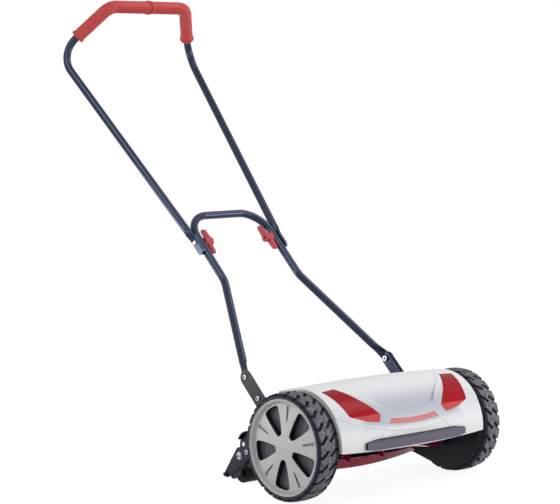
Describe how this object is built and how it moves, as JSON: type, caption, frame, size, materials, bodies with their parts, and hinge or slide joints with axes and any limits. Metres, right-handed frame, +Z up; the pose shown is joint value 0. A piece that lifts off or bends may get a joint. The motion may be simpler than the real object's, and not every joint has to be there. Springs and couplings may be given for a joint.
{
  "type": "push reel mower",
  "caption": "Push reel mower: toothed-ring wheels drive a twisted-blade reel under a silver hood; rear roller on a height adjuster, folding tubular handle with red grip.",
  "frame": {"origin": "on the ground, under the middle of the object's outer box", "axes": "+X to the user's left along the wheel axles, +Y back towards the user and the grip, +Z up; the hood and bumper face -Y"},
  "size_m": [0.51, 0.893, 0.9718],
  "materials": {
    "hood_silver": "satin silver-grey moulded plastic, nearly white on top",
    "hood_red": "glossy red moulded plastic",
    "bumper_grey": "dark grey soft-touch plastic",
    "side_plate_paint": "near-black painted steel sheet",
    "handle_paint": "glossy navy-black powder coat",
    "reel_paint": "red paint, ground bright along the cutting edges",
    "ground_steel": "ground steel",
    "zinc_steel": "bright zinc plate",
    "dark_steel": "black-oxide fasteners",
    "tyre_rubber": "matt dark grey moulded tread",
    "wheel_plastic": "black moulded plastic",
    "cap_plastic": "light warm-grey satin plastic",
    "bearing_plastic": "natural acetal",
    "gear_plastic": "dark grey glass-filled nylon",
    "arm_plastic": "dark grey moulded plastic",
    "roller_plastic": "black plastic tube",
    "grip_rubber": "soft red grip with ribs underneath",
    "knob_red": "red moulded plastic"
  },
  "bodies": {
    "chassis": {"side_plate_left": "side_plate_paint", "side_plate_right": "side_plate_paint", "gear_cover_left": "wheel_plastic", "gear_cover_right": "wheel_plastic", "wheel_axle_left": "zinc_steel", "wheel_axle_right": "zinc_steel", "axle_clips": "dark_steel", "reel_bearing_left": "bearing_plastic", "reel_bearing_right": "bearing_plastic", "front_tie_bar": "zinc_steel", "bed_bar": "side_plate_paint", "bed_knife": "ground_steel", "bed_screws": "zinc_steel", "hood_shell": "hood_silver", "hood_insert_left": "hood_red", "hood_insert_right": "hood_red", "hood_strip": "hood_red", "bumper": "bumper_grey", "hood_screws": "zinc_steel", "handle_frame": "handle_paint", "frame_bolts": "zinc_steel", "pivot_bolts": "zinc_steel"},
    "left_wheel": {"tyre_left": "tyre_rubber", "wheel_body_left": "wheel_plastic", "wheel_cap_left": "cap_plastic", "wheel_bush_left": "bearing_plastic"},
    "right_wheel": {"tyre_right": "tyre_rubber", "wheel_body_right": "wheel_plastic", "wheel_cap_right": "cap_plastic", "wheel_bush_right": "bearing_plastic"},
    "cutting_reel": {"reel_shaft": "zinc_steel", "reel_blade_1": "reel_paint", "reel_blade_2": "reel_paint", "reel_blade_3": "reel_paint", "reel_blade_4": "reel_paint", "reel_blade_5": "reel_paint", "reel_spider_1": "reel_paint", "reel_spider_2": "reel_paint", "reel_spider_3": "reel_paint", "reel_spider_4": "reel_paint", "drive_pawls": "dark_steel"},
    "left_pinion": {"pinion_left": "gear_plastic"},
    "right_pinion": {"pinion_right": "gear_plastic"},
    "height_adjuster": {"roller_arm_left": "arm_plastic", "roller_arm_right": "arm_plastic", "roller_axle": "zinc_steel", "height_bolts": "zinc_steel"},
    "roller": {"roller_drum": "roller_plastic", "roller_plugs": "roller_plastic"},
    "upper_handle": {"upper_tube": "handle_paint", "grip_left": "grip_rubber", "grip_right": "grip_rubber", "clamp_bolts": "zinc_steel"},
    "left_knob": {"clamp_knob_left": "knob_red"},
    "right_knob": {"clamp_knob_right": "knob_red"}
  },
  "joints": [
    {"name": "left_wheel_spin", "type": "hinge", "parent": "chassis", "child": "left_wheel", "pos_m": [0.23, -0.32898, 0.105], "axis": [1, 0, 0], "continuous": true},
    {"name": "right_wheel_spin", "type": "hinge", "parent": "chassis", "child": "right_wheel", "pos_m": [-0.23, -0.32898, 0.105], "axis": [1, 0, 0], "continuous": true},
    {"name": "reel_spin", "type": "hinge", "parent": "chassis", "child": "cutting_reel", "pos_m": [0, -0.28082, 0.09155], "axis": [1, 0, 0], "continuous": true},
    {"name": "left_pinion_spin", "type": "hinge", "parent": "chassis", "child": "left_pinion", "pos_m": [0.22, -0.28082, 0.09155], "axis": [1, 0, 0], "continuous": true},
    {"name": "right_pinion_spin", "type": "hinge", "parent": "chassis", "child": "right_pinion", "pos_m": [-0.22, -0.28082, 0.09155], "axis": [1, 0, 0], "continuous": true},
    {"name": "cutting_height", "type": "hinge", "parent": "chassis", "child": "height_adjuster", "pos_m": [0, -0.17897, 0.071], "axis": [1, 0, 0], "range_deg": [0, 30]},
    {"name": "roller_spin", "type": "hinge", "parent": "height_adjuster", "child": "roller", "pos_m": [0, -0.13498, 0.02], "axis": [1, 0, 0], "continuous": true},
    {"name": "handle_fold", "type": "hinge", "parent": "chassis", "child": "upper_handle", "pos_m": [0, 0.07973, 0.46311], "axis": [1, 0, 0], "range_deg": [0, 148]},
    {"name": "left_knob_turn", "type": "hinge", "parent": "chassis", "child": "left_knob", "pos_m": [0.087, 0.07973, 0.46311], "axis": [1, 0, 0], "continuous": true},
    {"name": "right_knob_turn", "type": "hinge", "parent": "chassis", "child": "right_knob", "pos_m": [-0.087, 0.07973, 0.46311], "axis": [1, 0, 0], "continuous": true}
  ],
  "couplings": [
    {"joint": "left_wheel_spin", "follows": "reel_spin", "ratio": 0.23077},
    {"joint": "left_pinion_spin", "follows": "reel_spin", "ratio": 1},
    {"joint": "right_wheel_spin", "follows": "reel_spin", "ratio": 0.23077},
    {"joint": "right_pinion_spin", "follows": "reel_spin", "ratio": 1}
  ]
}
